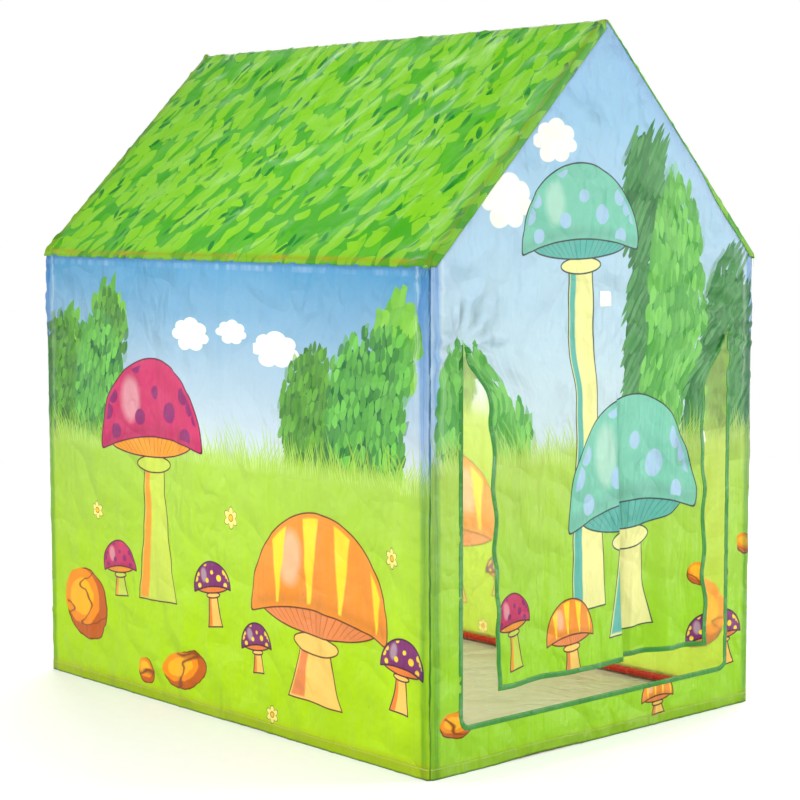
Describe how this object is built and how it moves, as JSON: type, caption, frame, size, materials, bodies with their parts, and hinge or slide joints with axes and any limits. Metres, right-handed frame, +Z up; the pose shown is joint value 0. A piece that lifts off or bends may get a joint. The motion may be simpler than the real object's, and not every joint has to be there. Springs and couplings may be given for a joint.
{
  "type": "kids play tent",
  "caption": "House-shaped kids play tent: sewn printed cover over a plug-together tube frame, gable doorway with two hanging flaps and a sewn-in floor.",
  "frame": {"origin": "on the ground under the middle of the tent's footprint", "axes": "+Z up; the doorway's gable faces -Y and the ridge runs along Y; +X is to the right as one faces the doorway from outside"},
  "size_m": [0.69, 0.95, 1.05],
  "materials": {
    "wall_cloth": "thin printed polyester, sky over a green meadow",
    "roof_cloth": "thin polyester printed with leaves",
    "floor_cloth": "plain cream groundsheet",
    "binding_green": "stitched edge tape",
    "patch_white": "white hook and loop tape and patch",
    "tube_red": "extruded tube, satin gloss",
    "joint_red": "moulded"
  },
  "bodies": {
    "cover_and_frame": {"base_tube_front_left": "tube_red", "base_tube_front_right": "tube_red", "base_tube_rear_left": "tube_red", "base_tube_rear_right": "tube_red", "base_tube_left_front": "tube_red", "base_tube_left_rear": "tube_red", "base_tube_right_front": "tube_red", "base_tube_right_rear": "tube_red", "post_left_front_lower": "tube_red", "post_left_front_upper": "tube_red", "post_left_rear_lower": "tube_red", "post_left_rear_upper": "tube_red", "post_right_front_lower": "tube_red", "post_right_front_upper": "tube_red", "post_right_rear_lower": "tube_red", "post_right_rear_upper": "tube_red", "eave_tube_left_front": "tube_red", "eave_tube_left_rear": "tube_red", "eave_tube_right_front": "tube_red", "eave_tube_right_rear": "tube_red", "rafter_left_front": "tube_red", "rafter_left_rear": "tube_red", "rafter_right_front": "tube_red", "rafter_right_rear": "tube_red", "ridge_tube_front": "tube_red", "ridge_tube_rear": "tube_red", "base_corner_left_front": "joint_red", "base_corner_left_rear": "joint_red", "base_corner_right_front": "joint_red", "base_corner_right_rear": "joint_red", "eave_corner_left_front": "joint_red", "eave_corner_left_rear": "joint_red", "eave_corner_right_front": "joint_red", "eave_corner_right_rear": "joint_red", "ridge_joint_front": "joint_red", "ridge_joint_rear": "joint_red", "floor_sheet": "floor_cloth", "wall_left": "wall_cloth", "wall_right": "wall_cloth", "wall_front": "wall_cloth", "wall_rear": "wall_cloth", "roof_cover": "roof_cloth", "door_binding": "binding_green", "closure_pad": "patch_white", "gable_patch": "patch_white"},
    "left_flap": {"door_flap_left": "wall_cloth", "flap_binding_left": "binding_green"},
    "right_flap": {"door_flap_right": "wall_cloth", "flap_binding_right": "binding_green", "closure_tab": "patch_white"}
  },
  "joints": [
    {"name": "left_flap_swing", "type": "hinge", "parent": "cover_and_frame", "child": "left_flap", "pos_m": [0, -0.4738, 0.597], "axis": [-1, 0, 0], "range_deg": [-90, 150]},
    {"name": "right_flap_swing", "type": "hinge", "parent": "cover_and_frame", "child": "right_flap", "pos_m": [0, -0.4738, 0.597], "axis": [-1, 0, 0], "range_deg": [-90, 150]}
  ]
}
